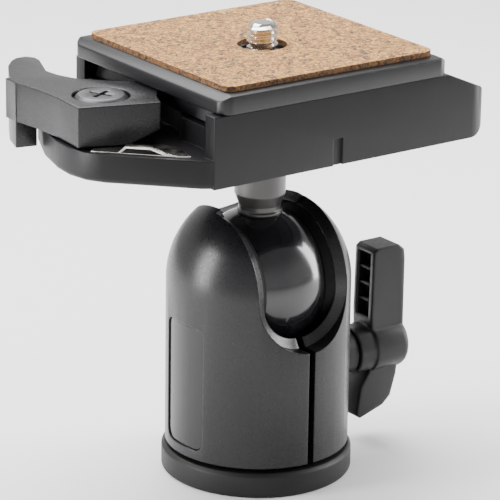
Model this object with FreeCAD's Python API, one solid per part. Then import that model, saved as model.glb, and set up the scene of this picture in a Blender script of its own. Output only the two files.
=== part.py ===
import FreeCAD, Part
import math
import os

os.makedirs("parts", exist_ok=True)

V = FreeCAD.Vector
X = V(1, 0, 0)
Y = V(0, 1, 0)
Z = V(0, 0, 1)
O = V(0, 0, 0)

# Driving sizes, all in millimetres
base_r = 20.0
base_h = 5.3
base_gap = 0.9
socket_r = 4.7625
socket_len = 9.0
insert_r = 6.6

shell_r = 19.25
slit_half = 0.75
ball_z = 41.5
ball_r = 15.0
seat_gap = 0.04
liner_t = 1.96
cavity_r = ball_r + seat_gap + liner_t
slot_half = 11.0
slot_inner = 9.1
seat_edge = 7.4
back_slot_z = 62.6

stem_r = 5.45
neck_r = 4.4
stem_top = 71.5
turn_gap = 0.1

knob_z = 20.3
bolt_r = 2.5
bolt_fit = 0.05

rec_bottom = stem_top + turn_gap
rec_depth = 14.55
rec_top = rec_bottom + rec_depth
rec_y0 = -24.2
rec_y1 = 28.8
rec_x0 = -28.5
shelf_top = 77.5
seat_depth = 4.05
seat_floor = rec_top - seat_depth

plate_cx = 1.0
plate_cy = 2.2
plate_hx = 27.9
plate_hy = 27.0
seat_clear = 0.1
plate_t = 3.95
plate_bottom = rec_top + seat_clear
plate_top = plate_bottom + plate_t
plate_low = seat_floor + seat_clear
dove_angle = 15.0
dove_gap = 0.1
cork_hx = 25.6
cork_hy = 24.9
cork_t = 1.1
screw_r = 3.175
screw_stand = 5.7
screw_top = plate_top + screw_stand
hole_r = 5.1

pivot_x = -37.9
pivot_y = 1.4
lever_lift = 0.5
lever_z0 = shelf_top + lever_lift
lever_z1 = rec_top - 0.05


def cyl(r, h, base, axis=Z):
    return Part.makeCylinder(r, h, base, axis)


def box(x0, x1, y0, y1, z0, z1):
    return Part.makeBox(x1 - x0, y1 - y0, z1 - z0, V(x0, y0, z0))


def poly_face(points):
    return Part.Face(Part.makePolygon(points + [points[0]]))


def prism(points, z0, z1):
    # Upright block with a flat outline given as x, y pairs
    return poly_face([V(p[0], p[1], z0) for p in points]).extrude(V(0, 0, z1 - z0))


def side_prism(points, y0, y1):
    # Block with an outline of x, z pairs carried along Y
    return poly_face([V(p[0], y0, p[1]) for p in points]).extrude(V(0, y1 - y0, 0))


def spin_x(points, z):
    # Ring around a line parallel to X, outline as x, radius pairs
    face = poly_face([V(p[0], 0, z + p[1]) for p in points])
    return face.revolve(V(0, 0, z), X, 360)


def spin_z(points):
    face = poly_face([V(p[0], 0, p[1]) for p in points])
    return face.revolve(O, Z, 360)


def upright_edges(shape, x0, x1, y0, y1):
    found = []
    for e in shape.Edges:
        a = e.Vertexes[0].Point
        b = e.Vertexes[-1].Point
        if abs(a.x - b.x) < 0.01 and abs(a.y - b.y) < 0.01 and abs(a.z - b.z) > 1.0:
            if x0 < a.x < x1 and y0 < a.y < y1:
                found.append(e)
    return found


def slab_block(cx, cy, hx, hy, z0, z1, r):
    b = box(cx - hx, cx + hx, cy - hy, cy + hy, z0, z1)
    return b.makeFillet(r, upright_edges(b, -99, 99, -99, 99))


def save(shape, name):
    shape = shape.removeSplitter()
    if shape.ShapeType == "Compound" and len(shape.Solids) == 1:
        shape = shape.Solids[0]
    if not shape.isValid():
        print("INVALID", name)
    print(name, len(shape.Solids), "solid", round(shape.Volume, 1))
    shape.exportStep("parts/" + name + ".step")
    return shape


# Screw heads that sit in the base disc
foot_screw_x = 12.4
foot_head_r = 2.9
foot_shank_r = 1.5
foot_screw_top = 15.0


def base_disc():
    # Round foot with a chamfered top edge and a turned spigot into the body
    spigot = 15.8
    s = spin_z([(0, 0.4), (16.0, 0.4), (16.0, 0), (base_r - 0.4, 0), (base_r, 0.4),
                (base_r, base_h - 0.7), (base_r - 0.7, base_h), (spigot, base_h),
                (spigot, base_h + base_gap), (0, base_h + base_gap)])
    s = s.cut(cyl(insert_r, 20, V(0, 0, -1)))
    for sx in (-1, 1):
        s = s.cut(cyl(foot_shank_r + 0.1, 20, V(sx * foot_screw_x, 0, -1)))
        s = s.cut(cyl(foot_head_r + 0.1, 2.6, V(sx * foot_screw_x, 0, 0)))
    return s


def base_insert():
    # Threaded bush of the tripod socket, thread drawn as its nominal bore
    s = cyl(insert_r, socket_len + 1.2, V(0, 0, 0))
    return s.cut(cyl(socket_r, socket_len, V(0, 0, 0)))


def foot_screws():
    # Two alike fixing screws, one into each half of the body
    solids = []
    for sx in (-1, 1):
        h = cyl(foot_head_r, 2.0, V(sx * foot_screw_x, 0, 0.6))
        h = h.fuse(cyl(foot_shank_r, foot_screw_top - 2.0, V(sx * foot_screw_x, 0, 2.0)))
        turns = [i * math.pi / 3 for i in range(6)]
        sock = prism([(1.25 * math.cos(a), 1.25 * math.sin(a)) for a in turns], 0, 1.6)
        sock.translate(V(sx * foot_screw_x, 0, 0.5))
        solids.append(h.cut(sock).removeSplitter())
    return Part.makeCompound([s.Solids[0] for s in solids])


def flare_tool():
    # Widening throat around the clamping line, narrow at the ball and wide outside
    k = (slot_half - slot_inner) / (15.65 - 14.4)
    far = 15.65 + (14.9 - slot_half) / k
    return spin_x([(-14.9, far), (-slot_half, 15.65), (-slot_inner, 14.4), (slot_inner, 14.4),
                   (slot_half, 15.65), (14.9, far), (14.9, 34), (-14.9, 34)], ball_z)


def slot_tool():
    flare = flare_tool()
    front = flare.common(box(-16, 16, -40, 0, ball_z, 90))
    back_u = cyl(slot_half, 40, V(0, 0, back_slot_z), Y)
    back_u = back_u.fuse(box(-slot_half, slot_half, 0, 40, back_slot_z, 100))
    back = flare.common(back_u)
    # Rounded lower end of the drop notch with its sloping rim
    rim = Part.makeCone(slot_inner, slot_half, 15.65 - 14.4, V(0, -14.4, ball_z), V(0, -1, 0))
    rim = rim.fuse(cyl(slot_half, 8, V(0, -15.65, ball_z), V(0, -1, 0)))
    rim = rim.common(box(-20, 20, -40, 0, 0, ball_z + 0.5))
    bore = cyl(slot_inner, 16, V(0, 0, ball_z), V(0, -1, 0))
    return front.fuse([back, rim, bore])


def body_whole():
    s = cyl(shell_r, ball_z - base_h - base_gap, V(0, 0, base_h + base_gap))
    s = s.fuse(Part.makeSphere(shell_r, V(0, 0, ball_z)))
    s = s.common(box(-30, 30, -30, 30, base_h + base_gap, 90))
    s = s.cut(Part.makeSphere(cavity_r, V(0, 0, ball_z)))
    s = s.cut(cyl(insert_r + 0.4, 7.5, V(0, 0, base_h)))
    s = s.cut(slot_tool())
    # Hollow under the ball between the clamping bolt and the lower cup
    s = s.cut(cyl(10.5, 6, V(0, 0, ball_z - cavity_r - 0.6)))
    return s


name_half = 6.2
name_z0 = 8.2
name_z1 = 35.0


def name_block(r_in, r_out, grow):
    ring = cyl(r_out, 40, V(0, 0, 0)).cut(cyl(r_in, 40, V(0, 0, 0)))
    w = name_half + grow
    b = box(-25, -10, -w, w, name_z0 - grow, name_z1 + grow)
    edges = []
    for e in b.Edges:
        a = e.Vertexes[0].Point
        c = e.Vertexes[-1].Point
        if abs(a.y - c.y) < 0.01 and abs(a.z - c.z) < 0.01:
            edges.append(e)
    b = b.makeFillet(2.2 + grow, edges)
    return ring.common(b)


def shell(side):
    s = body_whole()
    if side > 0:
        s = s.common(box(slit_half, 30, -30, 30, 0, 90))
    else:
        s = s.common(box(-30, -slit_half, -30, 30, 0, 90))
    s = s.cut(cyl(foot_shank_r, foot_screw_top - 3.0, V(side * foot_screw_x, 0, 3.0)))
    if side > 0:
        s = s.cut(cyl(bolt_r + 0.3, 30, V(0, 0, knob_z), X))
        s = s.cut(cyl(5.6, 5, V(collar_x0, 0, knob_z), X))
    else:
        s = s.cut(cyl(bolt_r, 16.0, V(-15.0, 0, knob_z), X))
        s = s.cut(name_block(shell_r - 0.7, shell_r + 1, 0.0))
    return s


seat_grip = 4.3


def seat(side):
    # Nylon liner that grips the ball, a ring round the clamping line
    ri = ball_r + seat_gap
    far = slot_inner + seat_grip
    lip = math.sqrt(cavity_r ** 2 - slot_inner ** 2)
    p1 = V(seat_edge, 0, ball_z + math.sqrt(ri ** 2 - seat_edge ** 2))
    p2 = V(slot_inner, 0, ball_z + lip)
    p3 = V(far, 0, ball_z + math.sqrt(cavity_r ** 2 - far ** 2))
    p4 = V(far, 0, ball_z + math.sqrt(ri ** 2 - far ** 2))
    a = math.radians(50)
    b = math.radians(45)
    m_out = V(cavity_r * math.sin(b), 0, ball_z + cavity_r * math.cos(b))
    m_in = V(ri * math.sin(a), 0, ball_z + ri * math.cos(a))
    w = Part.Wire([Part.makeLine(p1, p2), Part.Arc(p2, m_out, p3).toShape(),
                   Part.makeLine(p3, p4), Part.Arc(p4, m_in, p1).toShape()])
    s = Part.Face(w).revolve(V(0, 0, ball_z), X, 360)
    if side < 0:
        s = s.mirror(O, X)
    return s


def lower_cup():
    # Cup between the two liners that carries the underside of the ball
    s = Part.makeSphere(cavity_r, V(0, 0, ball_z)).cut(Part.makeSphere(ball_r + seat_gap, V(0, 0, ball_z)))
    return s.common(box(-6.4, 6.4, -11.0, 11.0, 0, ball_z - 10.0))


def clamp_bolt():
    # Bolt pressed into one half; the knob turns on its free end
    s = cyl(bolt_r, 14.8 + hub_x0 + insert_len - 1.3, V(-14.8, 0, knob_z), X)
    return s.makeFillet(0.5, [e for e in s.Edges if e.Length > 10 and e.CenterOfMass.x > 30])


def ball_solid():
    return Part.makeSphere(ball_r, V(0, 0, ball_z))


foot_gap = 0.03
foot_r = 4.7
stem_bore_r = 3.1
platform_screw_r = 3.0


def stem():
    z_foot = ball_z + 11.0
    s = spin_z([(0, z_foot), (foot_r, z_foot), (foot_r, 56.3), (neck_r, 56.6), (neck_r, 57.6),
                (stem_r - 0.15, 60.0), (stem_r, stem_top), (0, stem_top)])
    s = s.cut(Part.makeSphere(ball_r + foot_gap, V(0, 0, ball_z)))
    s = s.cut(cyl(stem_bore_r, 11.0, V(0, 0, stem_top - 11.0)))
    return s


def nose_profile():
    # Side outline of the receiver with its rounded far end
    pts = [V(-24.0, 0, rec_bottom), V(35.6, 0, rec_bottom + 0.2)]
    tip = V(40.6, 0, 77.4)
    up = V(36.9, 0, 82.7)
    w = [Part.makeLine(pts[0], pts[1]),
         Part.Arc(pts[1], V(39.4, 0, 73.9), tip).toShape(),
         Part.Arc(tip, V(39.7, 0, 80.8), up).toShape(),
         Part.makeLine(up, V(29.2, 0, rec_top)),
         Part.makeLine(V(29.2, 0, rec_top), V(-24.0, 0, rec_top)),
         Part.makeLine(V(-24.0, 0, rec_top), pts[0])]
    return Part.Face(Part.Wire(w))


def dove_shift(z):
    return (z - plate_low) * math.tan(math.radians(dove_angle))


lip_x = 24.0
flank_x = -24.0
pocket_y0 = -21.0
pocket_y1 = 25.6


def plan_limit():
    # Outline seen from above that rounds the nose corners
    b = box(-60, 40.7, rec_y0, rec_y1, 60, 100)
    return b.makeFillet(5.0, upright_edges(b, 30, 60, -99, 99))


def shelf_block():
    # Low shelf with a bulging far end and a straight slanting front edge
    outline = [(-28.4, rec_y0), (-20, rec_y0), (-20, rec_y1), (-29.4, rec_y1), (-35.4, 26.6), (-40.4, 21.0),
               (-44.6, 12.0), (-46.8, 4.0), (-47.3, -1.0), (-46.4, -5.6), (-44.2, -9.2), (-30.6, -22.9)]
    s = prism(outline, rec_bottom, shelf_top)
    low = [e for e in s.Edges if abs(e.CenterOfMass.z - rec_bottom) < 0.01 and e.CenterOfMass.x < -28.45]
    return s.makeFillet(1.2, low)


def receiver():
    f = nose_profile()
    f.translate(V(0, rec_y0, 0))
    s = f.extrude(V(0, rec_y1 - rec_y0, 0))
    s = s.fuse(box(rec_x0, -20, rec_y0, rec_y1, rec_bottom, rec_top))
    s = s.common(plan_limit())
    # Low shelf that carries the lever
    shelf = shelf_block()
    s = s.fuse(shelf)
    # Seat under the plate, open toward the lever, with one fixed undercut lip
    seat_cut = side_prism([(-32, seat_floor), (lip_x + dove_gap, seat_floor),
                           (lip_x + dove_gap - dove_shift(rec_top + 1), rec_top + 1), (-32, rec_top + 1)],
                          pocket_y0, pocket_y1)
    s = s.cut(seat_cut)
    # Well in which the lever's cam swings
    well = cyl(15.9, 12, V(pivot_x, pivot_y, shelf_top)).common(box(-60, 0, pocket_y0, pocket_y1, 0, 99))
    well = well.fuse(box(-60, -25.6, pocket_y0, pocket_y1, shelf_top, 99))
    s = s.cut(well)
    # The wall behind the lever ends short of the one in front
    s = s.cut(box(-60, -26.2, pocket_y1 - 1, rec_y1 + 1, shelf_top, rec_top + 1))
    # Shallow hollows of the casting, open underneath
    for x0, x1, y0, y1 in ((9.5, 20.5, -20.0, 24.6), (24.0, 33.0, -20.0, 24.6),
                           (-20.5, 6.5, 10.0, 24.6), (-20.5, 6.5, -20.0, -10.0)):
        pocket = slab_block((x0 + x1) / 2, (y0 + y1) / 2, (x1 - x0) / 2, (y1 - y0) / 2,
                            rec_bottom - 1, rec_bottom + 2.4, 1.5)
        s = s.cut(pocket)
    # Shallow slot on the long face
    s = s.cut(box(0.3, 2.6, rec_y0 - 1, rec_y0 + 0.45, rec_bottom - 1, 77.2))
    # Platform screw seat and lever screw hole
    s = s.cut(cyl(platform_screw_r + 0.02, 20, V(0, 0, rec_bottom - 1)))
    s = s.cut(Part.makeCone(platform_screw_r + 0.02, 6.0, 3.0, V(0, 0, seat_floor - 3.5)))
    s = s.cut(cyl(6.0, 2, V(0, 0, seat_floor - 0.5)))
    s = s.cut(cyl(pivot_screw_r, 6.0, V(pivot_x, pivot_y, rec_bottom + 1.2)))
    # Bore of the trigger pin
    s = s.cut(cyl(pin_r + pin_fit, 12, V(pin_x, pin_y, seat_floor - pin_len - 0.6)))
    return s


pin_x = -17.5
pin_y = 2.2
pin_r = 2.0
pin_fit = 0.1
pin_len = 9.0
pin_head_r = 2.9


def trigger_pin():
    # Sprung pin under the plate that follows it up as it leaves the seat
    s = cyl(pin_r, pin_len, V(pin_x, pin_y, seat_floor - pin_len))
    return s.makeFillet(0.5, [e for e in s.Edges if abs(e.CenterOfMass.z - seat_floor) < 0.01 and e.Length > 5])


def platform_screw():
    # Flat-head screw from the seat floor down into the stem
    z = seat_floor - 3.5
    z_end = stem_top - 10.2
    s = Part.makeCone(platform_screw_r, 5.7, 2.7, V(0, 0, z))
    s = s.fuse(cyl(platform_screw_r, z - z_end, V(0, 0, z_end)))
    s = s.fuse(cyl(5.7, 0.5, V(0, 0, z + 2.7)))
    for dx, dy in ((0.6, 4), (4, 0.6)):
        s = s.cut(box(-dx, dx, -dy, dy, z + 2.0, z + 5))
    return s


pivot_screw_r = 2.5
lever_bore_r = 2.6
lever_head_r = 5.5


grip_drop = 5.4


def lever_shape():
    px = pivot_x
    py = pivot_y
    body = [(-46.7, -4.0), (-30.9, -9.2), (-29.1, -5.0), (-29.0, 5.0), (-30.6, 9.0),
            (-33.5, 12.0), (-35.8, 14.8),
            (-37.2, 18.5), (-37.6, 22.2), (-47.3, 22.0), (-47.3, 17.9), (-46.4, 12.0), (-46.1, 4.0)]
    arm = prism(body, lever_z0, lever_z1)
    tab = [(-47.5, 17.9), (-45.6, 23.4), (-42.2, 29.4), (-39.6, 32.4), (-37.6, 33.8),
           (-35.4, 33.8), (-34.2, 32.2),
           (-34.4, 30.0), (-35.9, 26.4), (-37.7, 22.0), (-38.6, 19.6)]
    tabs = prism(tab, lever_z0, lever_z1)
    # Finger grip that hangs past the end of the shelf
    grip = prism([(-47.5, 17.9), (-45.6, 23.4), (-42.2, 29.4), (-39.6, 32.4), (-38.0, 31.0),
                  (-39.6, 27.0), (-41.8, 22.0), (-43.2, 16.9)], lever_z0 - grip_drop, lever_z0 + 1)
    s = arm.fuse([tabs, grip])
    # The clamping end is undercut along a slope
    s = s.cut(side_prism([(-37.0, lever_z0 - 1), (-37.0, lever_z0), (-29.0, lever_z0 + 3.4),
                          (-28.0, lever_z0 + 3.4), (-28.0, lever_z0 - 1)], -12, 9))
    # Clamping nose: a cone sector about the pivot that bears on the sloping edge of the plate
    reach0 = flank_x - dove_gap - px
    low = plate_low + 0.2
    high = rec_top - 0.2
    nose = Part.makeCone(reach0 + dove_shift(low), reach0 + dove_shift(high), high - low, V(px, py, low))
    sector = [(px + 6, py - 4.5), (px + 9.4, py - 5.6), (px + 13.4, py - 0.4), (px + 16, py - 0.3),
              (px + 16, py + 1.6), (px + 8.0, py + 7.5), (px + 5, py + 6)]
    nose = nose.common(prism(sector, low, high + 0.05))
    s = s.fuse(nose)
    s = s.cut(cyl(lever_bore_r, 20, V(px, py, 70)))
    s = s.cut(cyl(lever_head_r + 0.3, 5, V(px, py, lever_z1 - 1.4)))
    return s


def lever_screw():
    z_head = lever_z1 - 1.3
    z_end = rec_bottom + 1.4
    s = cyl(pivot_screw_r, z_head - z_end, V(pivot_x, pivot_y, z_end))
    head = Part.makeCone(lever_head_r, lever_head_r - 0.9, 0.9, V(pivot_x, pivot_y, z_head + 0.7))
    head = head.fuse(cyl(lever_head_r, 0.7, V(pivot_x, pivot_y, z_head)))
    s = s.fuse(head)
    a = 25.0
    for k in (0, 90):
        c = box(-2.6, 2.6, -0.45, 0.45, 0, 3)
        c.rotate(O, Z, a + k)
        c.translate(V(pivot_x, pivot_y, z_head + 0.4))
        s = s.cut(c)
    return s


def catch_plate():
    # Thin bent safety catch lying on the shelf in front of the cam
    flat = prism([(-44.2, -5.2), (-44.9, -6.9), (-33.0, -18.8), (-31.0, -19.8), (-29.8, -13.6),
                  (-31.4, -10.2), (-36.0, -6.4), (-38.5, -6.6)], shelf_top, shelf_top + 0.35)
    # Raised tongue along the front edge, bent up and down again
    line = [(0, 0), (5.6, 0), (7.0, 1.3), (11.8, 1.3), (14.8, 0.2), (17.8, 0),
            (17.8, 0.35), (14.9, 0.6), (12.0, 1.65), (6.8, 1.65), (5.4, 0.35), (0, 0.35)]
    d = math.sqrt(0.5)
    pts = [V(-44.2 + t * d, -5.2 - t * d, shelf_top + z) for t, z in line]
    tongue = poly_face(pts).extrude(V(-1.6 * d, -1.6 * d, 0))
    return flat.fuse(tongue)


def lever_washer():
    s = cyl(4.6, 0.45, V(pivot_x, pivot_y, shelf_top))
    return s.cut(cyl(pivot_screw_r, 2, V(pivot_x, pivot_y, shelf_top - 0.5)))


def camera_plate():
    top = slab_block(plate_cx, plate_cy, plate_hx, plate_hy, plate_bottom, plate_top, 2.6)
    # Wide bevels at the two ends and a small one along the long sides
    cut_w = 2.1
    for sx in (-1, 1):
        ex = plate_cx + sx * plate_hx
        wedge = side_prism([(ex + sx * 0.5, plate_top + 0.1), (ex - sx * cut_w, plate_top + 0.1),
                            (ex - sx * cut_w, plate_top), (ex, plate_top - 1.35),
                            (ex + sx * 0.5, plate_top - 1.35)],
                           plate_cy - 40, plate_cy + 40)
        top = top.cut(wedge)
    for sy in (-1, 1):
        ey = plate_cy + sy * plate_hy
        w = poly_face([V(-40, ey + sy * 0.5, plate_top + 0.1), V(-40, ey - sy * 2.0, plate_top + 0.1),
                       V(-40, ey - sy * 2.0, plate_top), V(-40, ey, plate_top - 0.3),
                       V(-40, ey + sy * 0.5, plate_top - 0.3)])
        top = top.cut(w.extrude(V(90, 0, 0)))
    z_in = plate_bottom + 0.5
    low = side_prism([(flank_x, plate_low), (lip_x, plate_low), (lip_x - dove_shift(z_in), z_in),
                      (flank_x + dove_shift(z_in), z_in)], pocket_y0 + 0.4, pocket_y1 - 0.4)
    s = top.fuse(low)
    # Hollow underside around the screw boss
    hollow = slab_block(0.0, 2.3, 17.5, 19.0, plate_low - 1, plate_low + 3.4, 2.0)
    boss = cyl(8.0, 20, V(0, 0, plate_low - 2))
    pad = slab_block(pin_x, pin_y, 4.5, 5.0, plate_low - 2, plate_top, 1.0)
    s = s.cut(hollow.cut(boss).cut(pad))
    s = s.cut(cyl(hole_r, 3.0, V(0, 0, plate_top - ring_drop - 0.05)))
    s = s.cut(cyl(neck_bore_r, 20, V(0, 0, plate_low - 2)))
    s = s.cut(cyl(head_r + 0.3, head_z1 + 0.2 - plate_low + 1, V(0, 0, plate_low - 1)))
    return s


neck_bore_r = 2.6
screw_neck_r = 2.5
head_r = 6.0
ring_drop = 0.95
head_z0 = plate_low + 0.3
head_z1 = head_z0 + 3.1
thread_z0 = plate_top - 0.2
pitch = 1.27
crest = 0.79
rings = 4


def cork_pad():
    s = slab_block(plate_cx, plate_cy, cork_hx, cork_hy, plate_top, plate_top + cork_t, 2.2)
    return s.cut(cyl(hole_r, 5, V(0, 0, plate_top - 1)))


def camera_screw():
    # Captive screw; the thread is drawn as rings of the same pitch and crest
    pts = [(0, head_z0), (head_r, head_z0), (head_r, head_z1),
           (screw_neck_r, head_z1), (screw_neck_r, thread_z0)]
    root = screw_r - 0.3
    for i in range(rings):
        z = thread_z0 + i * pitch
        pts += [(screw_r, z), (screw_r, z + crest)]
        if i < rings - 1:
            pts.append((root, z + (crest + pitch) / 2))
    pts += [(screw_r - 0.9, screw_top - 0.2), (screw_r - 1.1, screw_top), (0, screw_top)]
    s = spin_z(pts)
    s = s.cut(box(-head_r - 1, head_r + 1, -0.7, 0.7, head_z0 - 1, head_z0 + 1.6))
    return s


def retaining_ring():
    # Split ring in the neck of the camera screw
    z = plate_top - ring_drop
    s = cyl(4.2, 0.5, V(0, 0, z)).cut(cyl(screw_neck_r, 2, V(0, 0, z - 1)))
    return s.cut(box(0, 6, -1.1, 1.1, z - 1, z + 1))


collar_x0 = 17.4
collar_x1 = 23.3
collar_r = 4.8
hub_x0 = 23.7
hub_r = 5.3
boss_x0 = 27.9
boss_out = 36.7
boss_r = 5.7
wing_half = 3.3
knob_insert_r = 4.0
insert_len = 10.8


def collar():
    # Thrust washer between the body and the knob
    s = cyl(collar_r, collar_x1 - collar_x0, V(collar_x0, 0, knob_z), X)
    return s.cut(cyl(bolt_r + 0.3, 30, V(10, 0, knob_z), X))


def wing(points, half):
    return poly_face([V(p[0], -half, knob_z + p[1]) for p in points]).extrude(V(0, 2 * half, 0))


def knob():
    # Stepped hub with a tall wing above and a short hooked one below
    s = cyl(hub_r, boss_out - hub_x0 - 1, V(hub_x0, 0, knob_z), X)
    boss = cyl(boss_r, boss_out - boss_x0, V(boss_x0, 0, knob_z), X)
    rim = [e for e in boss.Edges if abs(e.CenterOfMass.x - boss_out) < 0.01 and e.Length > 20]
    boss = boss.makeFillet(1.6, rim)
    up = wing([(boss_x0, 0), (boss_x0 - 0.3, 8.0), (boss_x0, 22.0), (boss_x0 + 1.0, 22.7), (34.4, 22.7),
               (35.7, 21.6), (36.0, 19.5), (36.0, 5.0), (36.2, 0)], wing_half)
    down = wing([(boss_x0, 0), (35.2, 0), (34.4, -6.5), (33.0, -11.2), (31.0, -13.0), (25.0, -14.9),
                 (24.2, -14.2), (25.2, -8.0), (boss_x0, -4.0)], wing_half)
    s = s.fuse([boss, up, down])
    # Hollow on the inner face of the long wing
    s = s.cut(box(boss_x0 - 2, boss_x0 + 2.6, 1.3 - wing_half, wing_half - 1.0, knob_z + 7.0, knob_z + 21.4))
    s = s.cut(cyl(knob_insert_r, insert_len + 0.1, V(hub_x0, 0, knob_z), X))
    return s


def knob_insert():
    s = cyl(knob_insert_r, insert_len, V(hub_x0, 0, knob_z), X)
    return s.cut(cyl(bolt_r + bolt_fit, insert_len, V(hub_x0 - 1, 0, knob_z), X))


save(base_disc(), "base_disc")
save(base_insert(), "base_insert")
foot = foot_screws()
foot.exportStep("parts/foot_screws.step")
save(shell(-1), "shell_left")
save(shell(1), "shell_right")
save(seat(-1), "seat_left")
save(seat(1), "seat_right")
save(lower_cup(), "lower_cup")
save(name_block(shell_r - 0.7, shell_r - 0.3, -0.15), "name_plate")
save(clamp_bolt(), "clamp_bolt")
save(collar(), "collar")
save(knob(), "knob")
save(knob_insert(), "knob_insert")
save(ball_solid(), "ball")
save(stem(), "stem")
save(receiver(), "receiver")
save(platform_screw(), "platform_screw")
save(trigger_pin(), "trigger_pin")
save(lever_shape(), "lever")
save(lever_screw(), "lever_screw")
save(lever_washer(), "lever_washer")
save(catch_plate(), "catch_plate")
save(camera_plate(), "camera_plate")
save(cork_pad(), "cork_pad")
save(camera_screw(), "camera_screw")
save(retaining_ring(), "retaining_ring")
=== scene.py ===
import bpy
import bmesh
import math
from mathutils import Vector, Matrix


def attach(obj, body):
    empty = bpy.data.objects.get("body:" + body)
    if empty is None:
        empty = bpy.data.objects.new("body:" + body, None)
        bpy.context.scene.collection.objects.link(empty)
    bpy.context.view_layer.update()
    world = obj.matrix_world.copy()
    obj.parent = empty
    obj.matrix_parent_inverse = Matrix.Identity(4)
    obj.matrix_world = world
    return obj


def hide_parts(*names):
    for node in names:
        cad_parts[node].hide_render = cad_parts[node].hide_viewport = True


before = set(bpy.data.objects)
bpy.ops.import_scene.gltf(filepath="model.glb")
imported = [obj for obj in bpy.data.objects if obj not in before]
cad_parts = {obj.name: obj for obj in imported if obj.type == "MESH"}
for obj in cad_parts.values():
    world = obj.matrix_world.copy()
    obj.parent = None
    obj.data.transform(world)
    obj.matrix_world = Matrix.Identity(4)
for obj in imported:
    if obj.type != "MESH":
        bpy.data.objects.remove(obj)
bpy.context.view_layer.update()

mm = 0.001


# Small helpers for shader trees

def newMaterial(name, baseColor, roughness, metallic=0.0):
    mat = bpy.data.materials.new(name)
    mat.use_nodes = True
    bsdf = mat.node_tree.nodes["Principled BSDF"]
    bsdf.inputs["Base Color"].default_value = (*baseColor, 1)
    bsdf.inputs["Roughness"].default_value = roughness
    bsdf.inputs["Metallic"].default_value = metallic
    return mat, mat.node_tree, bsdf


def objectPoint(tree, scale=(1, 1, 1)):
    coord = tree.nodes.new("ShaderNodeTexCoord")
    mapping = tree.nodes.new("ShaderNodeMapping")
    mapping.inputs["Scale"].default_value = scale
    tree.links.new(coord.outputs["Object"], mapping.inputs["Vector"])
    return mapping.outputs["Vector"]


def noise(tree, vector, scale, detail):
    node = tree.nodes.new("ShaderNodeTexNoise")
    node.inputs["Scale"].default_value = scale
    node.inputs["Detail"].default_value = detail
    node.inputs["Roughness"].default_value = 0.55
    tree.links.new(vector, node.inputs["Vector"])
    return node.outputs["Fac"]


def crumbs(tree, vector, scale, feature="F1"):
    # Cells that stand for grains, pebbles or crumbs
    node = tree.nodes.new("ShaderNodeTexVoronoi")
    node.feature = feature
    node.inputs["Scale"].default_value = scale
    tree.links.new(vector, node.inputs["Vector"])
    return node


def ramp(tree, value, stops):
    node = tree.nodes.new("ShaderNodeValToRGB")
    while len(node.color_ramp.elements) < len(stops):
        node.color_ramp.elements.new(0.5)
    for element, (pos, color) in zip(node.color_ramp.elements, stops):
        element.position = pos
        element.color = (*color, 1)
    tree.links.new(value, node.inputs["Fac"])
    return node.outputs["Color"]


def mapRange(tree, value, low, high, fromLow=0.3, fromHigh=0.7):
    node = tree.nodes.new("ShaderNodeMapRange")
    node.inputs["From Min"].default_value = fromLow
    node.inputs["From Max"].default_value = fromHigh
    node.inputs["To Min"].default_value = low
    node.inputs["To Max"].default_value = high
    tree.links.new(value, node.inputs["Value"])
    return node.outputs["Result"]


def setOrLink(tree, value, socket):
    if hasattr(value, "is_linked"):
        tree.links.new(value, socket)
    elif isinstance(value, tuple):
        socket.default_value = (*value, 1)
    else:
        socket.default_value = value


def mixColor(tree, factor, a, b):
    node = tree.nodes.new("ShaderNodeMix")
    node.data_type = "RGBA"
    # The number and colour sockets share their names, so they are taken by place
    setOrLink(tree, factor, node.inputs[0])
    setOrLink(tree, a, node.inputs[6])
    setOrLink(tree, b, node.inputs[7])
    return node.outputs[2]


def bump(tree, bsdf, height, strength, depth, after=None):
    # Depth in millimetres
    node = tree.nodes.new("ShaderNodeBump")
    node.inputs["Strength"].default_value = strength
    node.inputs["Distance"].default_value = depth * mm
    tree.links.new(height, node.inputs["Height"])
    if after is not None:
        tree.links.new(after, node.inputs["Normal"])
    tree.links.new(node.outputs["Normal"], bsdf.inputs["Normal"])
    return node.outputs["Normal"]


def brokenEdge(tree, radius):
    # Paint gathers over the edges, so they shine as if gently rounded
    node = tree.nodes.new("ShaderNodeBevel")
    node.samples = 8
    node.inputs["Radius"].default_value = radius * mm
    return node.outputs["Normal"]


def wornRoughness(tree, bsdf, value, look):
    low, high = look["wear"]
    worn = mapRange(tree, value, look["rough"] + low, look["rough"] + high)
    tree.links.new(worn, bsdf.inputs["Roughness"])


def cloudyTone(tone, swing):
    dark = tuple(c * (1 - swing) for c in tone)
    light = tuple(c * (1 + swing) for c in tone)
    return [(0.3, dark), (0.7, light)]


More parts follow.
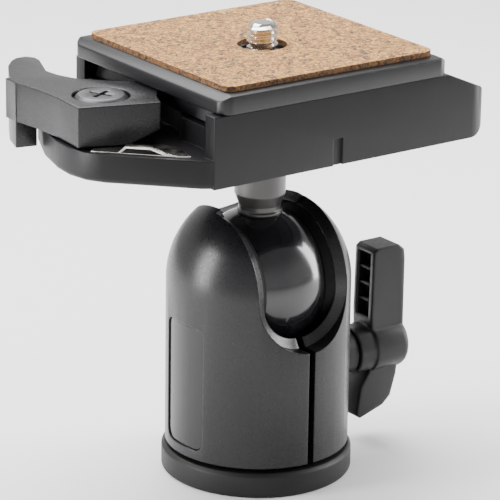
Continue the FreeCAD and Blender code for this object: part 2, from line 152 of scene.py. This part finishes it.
# Satin paint over die-cast metal. soft is the rounding of the edges' shine in millimetres
castingBase = dict(metal=0.0, spec=0.5, coat=0.0, soft=0.35, cloud=0.16, cloudScale=120,
                   grain=(1, 1, 1), grainScale=2600, grainBump=0.10, grainDepth=0.04,
                   peel=0.12, peelScale=5200, peelDepth=0.03, coatRough=0.3, wear=(-0.05, 0.07))
castings = {
    "bodyPaint": dict(tone=(0.0048, 0.0048, 0.0058), rough=0.30, spec=0.42, peel=0.05, grainBump=0.02),
    "receiverPaint": dict(tone=(0.0042, 0.0042, 0.0050), rough=0.42, spec=0.26, grain=(9, 9, 0.6),
                          grainScale=420, grainBump=0.22),
    "leverPaint": dict(tone=(0.0090, 0.0090, 0.0100), rough=0.30, spec=0.42, peel=0.08, soft=0.45),
    "platePaint": dict(tone=(0.0055, 0.0055, 0.0065), rough=0.34, spec=0.42, peel=0.08),
    "stemMetal": dict(tone=(0.075, 0.073, 0.071), rough=0.34, metal=0.7, peel=0.02, grainBump=0.02,
                      cloud=0.06),
    "footMetal": dict(tone=(0.0075, 0.0070, 0.0066), rough=0.5, spec=0.30, peel=0.14),
    "labelMetal": dict(tone=(0.004, 0.004, 0.005), rough=0.20, spec=0.35, grain=(1, 1, 14),
                       grainScale=900, coat=0.2),
}


def paintedCasting(name, changes):
    # Cloudy tone, a grain that may run one way, and faint orange peel
    look = {**castingBase, **changes}
    mat, tree, bsdf = newMaterial(name, look["tone"], look["rough"], look["metal"])
    point = objectPoint(tree)
    cloud = noise(tree, point, look["cloudScale"], 3)
    grain = noise(tree, objectPoint(tree, look["grain"]), look["grainScale"], 2)
    peel = noise(tree, point, look["peelScale"], 2)
    tree.links.new(ramp(tree, cloud, cloudyTone(look["tone"], look["cloud"])), bsdf.inputs["Base Color"])
    wornRoughness(tree, bsdf, grain, look)
    edge = brokenEdge(tree, look["soft"])
    grained = bump(tree, bsdf, grain, look["grainBump"], look["grainDepth"], edge)
    bump(tree, bsdf, peel, look["peel"], look["peelDepth"], grained)
    bsdf.inputs["Specular IOR Level"].default_value = look["spec"]
    bsdf.inputs["Coat Weight"].default_value = look["coat"]
    bsdf.inputs["Coat Roughness"].default_value = look["coatRough"]
    return mat


plasticBase = dict(spec=0.4, soft=0.35, pebble=3600, pebbleBump=0.22, pebbleDepth=0.04,
                   cloud=0.2, cloudScale=180, wearScale=900, wear=(-0.06, 0.06))
plastics = {
    "linerNylon": dict(tone=(0.003, 0.003, 0.003), rough=0.6, pebble=5000, pebbleBump=0.1, spec=0.15),
    "collarPlastic": dict(tone=(0.003, 0.003, 0.003), rough=0.5, spec=0.3),
    "knobPlastic": dict(tone=(0.0060, 0.0060, 0.0060), rough=0.42, pebbleBump=0.2, spec=0.34, soft=0.9),
}


def mouldedPlastic(name, changes):
    # Cloudy tone over the fine pebbles of a blasted mould
    look = {**plasticBase, **changes}
    mat, tree, bsdf = newMaterial(name, look["tone"], look["rough"])
    point = objectPoint(tree)
    cloud = noise(tree, point, look["cloudScale"], 3)
    patches = noise(tree, point, look["wearScale"], 3)
    pebble = crumbs(tree, point, look["pebble"]).outputs["Distance"]
    tree.links.new(ramp(tree, cloud, cloudyTone(look["tone"], look["cloud"])), bsdf.inputs["Base Color"])
    wornRoughness(tree, bsdf, patches, look)
    edge = brokenEdge(tree, look["soft"])
    bump(tree, bsdf, pebble, look["pebbleBump"], look["pebbleDepth"], edge)
    bsdf.inputs["Specular IOR Level"].default_value = look["spec"]
    return mat


metalBase = dict(lines=(1, 1, 40), lineScale=260, lineBump=0.15, lineDepth=0.03,
                 smudgeScale=320, smudgeShade=0.8, wear=(-0.06, 0.1))
metals = {
    "steelMetal": dict(tone=(0.45, 0.45, 0.47), rough=0.28),
    "brightMetal": dict(tone=(0.78, 0.76, 0.72), rough=0.18),
    "greyScrewMetal": dict(tone=(0.10, 0.10, 0.105), rough=0.38),
    "brassMetal": dict(tone=(0.62, 0.42, 0.18), rough=0.3),
}


def machinedMetal(name, changes):
    # Turned or drawn metal with fine tool lines across the axis and small smudges
    look = {**metalBase, **changes}
    mat, tree, bsdf = newMaterial(name, look["tone"], look["rough"], 1.0)
    lines = noise(tree, objectPoint(tree, look["lines"]), look["lineScale"], 2)
    smudge = noise(tree, objectPoint(tree), look["smudgeScale"], 4)
    dark = tuple(c * look["smudgeShade"] for c in look["tone"])
    tree.links.new(ramp(tree, smudge, [(0.25, dark), (0.65, look["tone"])]), bsdf.inputs["Base Color"])
    wornRoughness(tree, bsdf, smudge, look)
    bump(tree, bsdf, lines, look["lineBump"], look["lineDepth"])
    return mat


corkLook = dict(
    base=(0.6, 0.42, 0.28), rough=0.85, crumb=1050, smallCrumb=2415, warpScale=700, warp=0.9,
    tones=[(0.07, (0.018, 0.007, 0.002)), (0.2, (0.17, 0.055, 0.009)), (0.42, (0.42, 0.17, 0.028)),
           (0.72, (0.66, 0.34, 0.075)), (0.93, (0.36, 0.12, 0.016))],
    smallTones=[(0.12, (0.012, 0.008, 0.006)), (0.26, (0.14, 0.105, 0.075)), (0.5, (0.46, 0.21, 0.045)),
                (0.78, (0.80, 0.48, 0.14)), (0.95, (0.085, 0.08, 0.078))],
    edgeTones=[(0.3, (0.008, 0.004, 0.003)), (0.8, (0.13, 0.05, 0.016))],
    edgeShare=0.8, edgeLook=(0.35, 0.9), binder=(0.07, 0.028, 0.012), binderShare=0.7, binderWidth=0.10,
    jointBump=0.5, jointDepth=0.2, pitScale=1500, pitBump=0.5, pitDepth=0.12)


def channel(tree, color, name):
    node = tree.nodes.new("ShaderNodeSeparateColor")
    tree.links.new(color, node.inputs["Color"])
    return node.outputs[name]


def corkFinish(name, look):
    # Pressed cork: large crumbs with their own tones, dark binder in the joints
    mat, tree, bsdf = newMaterial(name, look["base"], look["rough"])
    point = objectPoint(tree)
    warp = tree.nodes.new("ShaderNodeTexNoise")
    warp.inputs["Scale"].default_value = look["warpScale"]
    warp.inputs["Detail"].default_value = 3
    tree.links.new(point, warp.inputs["Vector"])
    shift = tree.nodes.new("ShaderNodeVectorMath")
    shift.operation = "MULTIPLY_ADD"
    shift.inputs[1].default_value = (look["warp"] * mm,) * 3
    tree.links.new(warp.outputs["Color"], shift.inputs[0])
    tree.links.new(point, shift.inputs[2])
    ragged = shift.outputs[0]
    big = crumbs(tree, ragged, look["crumb"]).outputs["Color"]
    small = crumbs(tree, ragged, look["smallCrumb"]).outputs["Color"]
    gap = crumbs(tree, ragged, look["crumb"], "DISTANCE_TO_EDGE").outputs["Distance"]
    bigTone = ramp(tree, channel(tree, big, "Red"), look["tones"])
    smallTone = ramp(tree, channel(tree, small, "Green"), look["smallTones"])
    joint = mapRange(tree, gap, look["binderShare"], 0.0, 0.0, look["binderWidth"])
    face = mixColor(tree, joint, mixColor(tree, 0.5, bigTone, smallTone), look["binder"])
    # The cut edge of the sheet is darker and dirtier than its face, told apart by how far it looks up
    geo = tree.nodes.new("ShaderNodeNewGeometry")
    up = tree.nodes.new("ShaderNodeSeparateXYZ")
    tree.links.new(geo.outputs["Normal"], up.inputs["Vector"])
    sideways = mapRange(tree, up.outputs["Z"], look["edgeShare"], 0.0, *look["edgeLook"])
    cutEdge = ramp(tree, channel(tree, small, "Blue"), look["edgeTones"])
    tree.links.new(mixColor(tree, sideways, face, cutEdge), bsdf.inputs["Base Color"])
    crumbled = bump(tree, bsdf, gap, look["jointBump"], look["jointDepth"])
    pits = noise(tree, point, look["pitScale"], 4)
    bump(tree, bsdf, pits, look["pitBump"], look["pitDepth"], crumbled)
    return mat


lacquerLook = dict(base=(0.004, 0.004, 0.005), rough=0.16, smearScale=260, roughRange=(0.14, 0.24),
                   tones=[(0.3, (0.005, 0.005, 0.007)), (0.7, (0.012, 0.012, 0.013))],
                   coat=0.5, coatRough=0.08)


def glossLacquer(name, look):
    mat, tree, bsdf = newMaterial(name, look["base"], look["rough"])
    smear = noise(tree, objectPoint(tree), look["smearScale"], 3)
    tree.links.new(ramp(tree, smear, look["tones"]), bsdf.inputs["Base Color"])
    tree.links.new(mapRange(tree, smear, *look["roughRange"]), bsdf.inputs["Roughness"])
    bsdf.inputs["Coat Weight"].default_value = look["coat"]
    bsdf.inputs["Coat Roughness"].default_value = look["coatRough"]
    return mat


finish = {}
for makeFinish, looks in ((paintedCasting, castings), (mouldedPlastic, plastics), (machinedMetal, metals)):
    for name, look in looks.items():
        finish[name] = makeFinish(name, look)
finish["corkSheet"] = corkFinish("corkSheet", corkLook)
finish["ballLacquer"] = glossLacquer("ballLacquer", lacquerLook)
print("finishes made", len(finish))


# Mesh helpers

def meshObject(name, bm, material):
    mesh = bpy.data.meshes.new(name)
    bm.to_mesh(mesh)
    bm.free()
    obj = bpy.data.objects.new(name, mesh)
    bpy.context.scene.collection.objects.link(obj)
    mesh.materials.append(material)
    for poly in mesh.polygons:
        poly.use_smooth = True
    return obj


# The dressed pieces: edge is the bevel's width in millimetres, flat and limit are angles
softBase = dict(flat=1.0, segments=4, limit=32, weld=0.002)
softPieces = {
    "shell_left": dict(edge=0.55, flat=0.2, mat="bodyPaint", body="housing", slot="body_metal"),
    "shell_right": dict(edge=0.55, flat=0.2, mat="bodyPaint", body="housing", slot="body_metal"),
    "base_disc": dict(edge=0.25, segments=3, mat="footMetal", body="housing", slot="foot_metal"),
    "receiver": dict(edge=0.35, mat="receiverPaint", body="platform", slot="receiver_metal"),
    "lever": dict(edge=0.4, mat="leverPaint", body="lock_lever", slot="lever_metal"),
    "camera_plate": dict(edge=0.3, mat="platePaint", body="top_plate", slot="plate_metal"),
    "knob": dict(edge=0.55, mat="knobPlastic", body="clamp_knob", slot="knob_plastic"),
    "catch_plate": dict(edge=0.1, segments=2, mat="brightMetal", body="platform", slot="bright_steel"),
    "lever_screw": dict(edge=0.15, segments=3, mat="greyScrewMetal", body="platform", slot="screw_grey"),
}


def softened(node, changes):
    # The CAD form with its edges broken, as a casting or turned part has them
    look = {**softBase, **changes}
    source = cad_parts[node]
    bm = bmesh.new()
    bm.from_mesh(source.data)
    bm.transform(source.matrix_world)
    bmesh.ops.remove_doubles(bm, verts=bm.verts[:], dist=look["weld"] * mm)
    flat = math.radians(look["flat"])
    bmesh.ops.dissolve_limit(bm, angle_limit=flat, verts=bm.verts[:], edges=bm.edges[:])
    obj = meshObject(node + "_form", bm, finish[look["mat"]])
    edge = obj.modifiers.new("edges", "BEVEL")
    edge.width = look["edge"] * mm
    edge.segments = look["segments"]
    edge.limit_method = "ANGLE"
    edge.angle_limit = math.radians(look["limit"])
    edge.profile = 0.5
    edge.use_clamp_overlap = True
    edge.harden_normals = True
    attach(obj, look["body"])
    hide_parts(node)


for node, look in softPieces.items():
    softened(node, look)
print("softened pieces", len(softPieces))


# CAD nodes that keep their own mesh
plainNodes = {
    "base_insert": "steelMetal", "foot_screws": "steelMetal", "clamp_bolt": "steelMetal",
    "platform_screw": "steelMetal", "seat_left": "linerNylon", "seat_right": "linerNylon",
    "lower_cup": "linerNylon", "lever_washer": "linerNylon", "name_plate": "labelMetal",
    "collar": "collarPlastic", "knob_insert": "brassMetal", "trigger_pin": "brassMetal",
    "stem": "stemMetal", "retaining_ring": "brightMetal", "cork_pad": "corkSheet",
}
for node, material in plainNodes.items():
    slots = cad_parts[node].data.materials
    slots.clear()
    slots.append(finish[material])
print("plain nodes dressed", len(plainNodes))


ballLook = dict(radius=15.0, height=41.5, segments=96, rings=64)


def makeBall(look):
    bm = bmesh.new()
    bmesh.ops.create_uvsphere(bm, u_segments=look["segments"], v_segments=look["rings"],
                              radius=look["radius"] * mm)
    bmesh.ops.translate(bm, verts=bm.verts[:], vec=(0, 0, look["height"] * mm))
    obj = meshObject("ball_form", bm, finish["ballLacquer"])
    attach(obj, "ball_part")
    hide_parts("ball")


makeBall(ballLook)
print("ball turned")


# Radii and heights in millimetres, with steps for each turn. tip holds how far in and how far down it goes
screwLook = dict(crest=3.175, root=2.55, pitch=1.27, low=89.9, top=95.9, turns=4.1, steps=40,
                 neck=2.5, head=6.0, headLow=82.5, headHigh=85.6, chamfer=0.3,
                 tip=((0, 0.55), (0.35, 0.12), (0.5, 0)), weld=0.001,
                 ridgeFoot=0.56, ridgeCrest=0.10, ridgeSink=0.08, runIn=0.35, aroundSteps=64, sharp=35)


def turnedBlank(bm, look):
    head, neck, root, chamfer = (look[k] for k in ("head", "neck", "root", "chamfer"))
    low, top, headLow, headHigh = (look[k] for k in ("low", "top", "headLow", "headHigh"))
    outline = [(0, headLow), (head - chamfer, headLow), (head, headLow + chamfer),
               (head, headHigh - chamfer), (head - chamfer, headHigh), (neck, headHigh),
               (neck, low - chamfer), (root, low)]
    outline += [(root - inward, top - down) for inward, down in look["tip"]]
    outline.append((0, top))
    verts = [bm.verts.new((r * mm, 0, z * mm)) for r, z in outline]
    edges = [bm.edges.new(pair) for pair in zip(verts, verts[1:])]
    bmesh.ops.spin(bm, geom=verts + edges, cent=(0, 0, 0), axis=(0, 0, 1), angle=math.tau,
                   steps=look["aroundSteps"], use_merge=True)
    bmesh.ops.remove_doubles(bm, verts=bm.verts[:], dist=look["weld"] * mm)


def threadRidge(bm, look):
    sunk = look["root"] - look["ridgeSink"]
    foot, crest = look["ridgeFoot"], look["ridgeCrest"]
    ridge = [(sunk, -foot), (look["crest"], -crest), (look["crest"], crest), (sunk, foot)]
    start = look["low"] + look["runIn"]
    section = [bm.verts.new((r * mm, 0, (start + z) * mm)) for r, z in ridge]
    face = bm.faces.new(section)
    steps = int(look["steps"] * look["turns"])
    rise = look["pitch"] * look["turns"] * mm / steps
    bmesh.ops.spin(bm, geom=[face] + list(face.edges) + section, cent=(0, 0, 0), axis=(0, 0, 1),
                   dvec=(0, 0, rise), angle=math.tau * look["turns"], steps=steps, use_merge=False)


def makeCameraScrew(look):
    bm = bmesh.new()
    turnedBlank(bm, look)
    threadRidge(bm, look)
    bmesh.ops.recalc_face_normals(bm, faces=bm.faces[:])
    obj = meshObject("camera_screw_form", bm, finish["brightMetal"])
    obj.data.set_sharp_from_angle(angle=math.radians(look["sharp"]))
    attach(obj, "mount_screw")
    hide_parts("camera_screw")


makeCameraScrew(screwLook)
print("camera screw wound")


# Rises are the webs' heights above the knob's axis
ribLook = dict(x0=28.2, x1=30.45, y0=-1.95, y1=2.25, thick=0.55, axisZ=20.3, rises=(10.6, 14.2, 17.8),
               edge=0.12)


def makeKnobRibs(look):
    # Thin webs across the hollow of the long wing, moulded with it
    bm = bmesh.new()
    size = (look["x1"] - look["x0"], look["y1"] - look["y0"], look["thick"])
    for rise in look["rises"]:
        rib = bmesh.ops.create_cube(bm, size=1.0)["verts"]
        middle = ((look["x0"] + look["x1"]) / 2, (look["y0"] + look["y1"]) / 2, look["axisZ"] + rise)
        bmesh.ops.scale(bm, verts=rib, vec=Vector(size) * mm)
        bmesh.ops.translate(bm, verts=rib, vec=Vector(middle) * mm)
    bmesh.ops.bevel(bm, geom=bm.edges[:], offset=look["edge"] * mm, segments=2, affect="EDGES",
                    profile=0.5, material=-1)
    obj = meshObject("knob_ribs", bm, finish["knobPlastic"])
    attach(obj, "clamp_knob")


makeKnobRibs(ribLook)
print("knob ribs moulded")


shot = dict(place=(-366.3, -504.99, 259.54), target=(-2.292, 0, 47.677), roll=0.842, lens=229.47,
            sensor=36)


def makeCamera(look):
    data = bpy.data.cameras.new("studioCamera")
    data.lens = look["lens"]
    data.sensor_width = look["sensor"]
    cam = bpy.data.objects.new("studioCamera", data)
    bpy.context.scene.collection.objects.link(cam)
    place = Vector(look["place"]) * mm
    aim = (Vector(look["target"]) * mm - place).normalized()
    turn = aim.to_track_quat("-Z", "Y").to_matrix().to_4x4()
    roll = Matrix.Rotation(math.radians(look["roll"]), 4, "Z")
    cam.matrix_world = Matrix.Translation(place) @ turn @ roll
    bpy.context.scene.camera = cam


makeCamera(shot)


lights = [
    dict(name="topSoftbox", place=(0.0, 0.25, 0.60), aim=(0, 0, 0.06), size=(0.7, 0.5), power=12.0),
    dict(name="leftStrip", place=(-0.50, 0.16, 0.16), aim=(0, 0, 0.05), size=(0.16, 0.45), power=4.5),
    dict(name="rightStrip", place=(0.42, -0.16, 0.16), aim=(0, 0, 0.05), size=(0.14, 0.45), power=3.5),
]


def areaLight(name, place, aim, size, power):
    data = bpy.data.lights.new(name, "AREA")
    data.shape = "RECTANGLE"
    data.size, data.size_y = size
    data.energy = power
    obj = bpy.data.objects.new(name, data)
    bpy.context.scene.collection.objects.link(obj)
    obj.location = place
    obj.rotation_euler = (Vector(aim) - Vector(place)).to_track_quat("-Z", "Y").to_euler()


for light in lights:
    areaLight(**light)


roomLook = dict(strength=1.05, shades=[(0.0, (1, 1, 1)), (0.25, (0.95, 0.95, 0.95)),
                                       (0.6, (0.45, 0.45, 0.45))])


def makeWorld(look):
    # White walls, with a dimmer ceiling that keeps the upper faces of the dark paint quiet
    world = bpy.data.worlds.new("studioWorld")
    bpy.context.scene.world = world
    world.use_nodes = True
    tree = world.node_tree
    coord = tree.nodes.new("ShaderNodeTexCoord")
    split = tree.nodes.new("ShaderNodeSeparateXYZ")
    tree.links.new(coord.outputs["Generated"], split.inputs["Vector"])
    background = tree.nodes["Background"]
    tree.links.new(ramp(tree, split.outputs["Z"], look["shades"]), background.inputs["Color"])
    background.inputs["Strength"].default_value = look["strength"]


makeWorld(roomLook)


floorLook = dict(halfWidth=4.0, tone=(0.9, 0.9, 0.9), rough=0.7)


def makeFloor(look):
    bm = bmesh.new()
    bmesh.ops.create_grid(bm, x_segments=1, y_segments=1, size=look["halfWidth"])
    paint = newMaterial("floorPaint", look["tone"], look["rough"])[0]
    meshObject("studio_floor", bm, paint)


makeFloor(floorLook)
print("camera, lights and floor set")
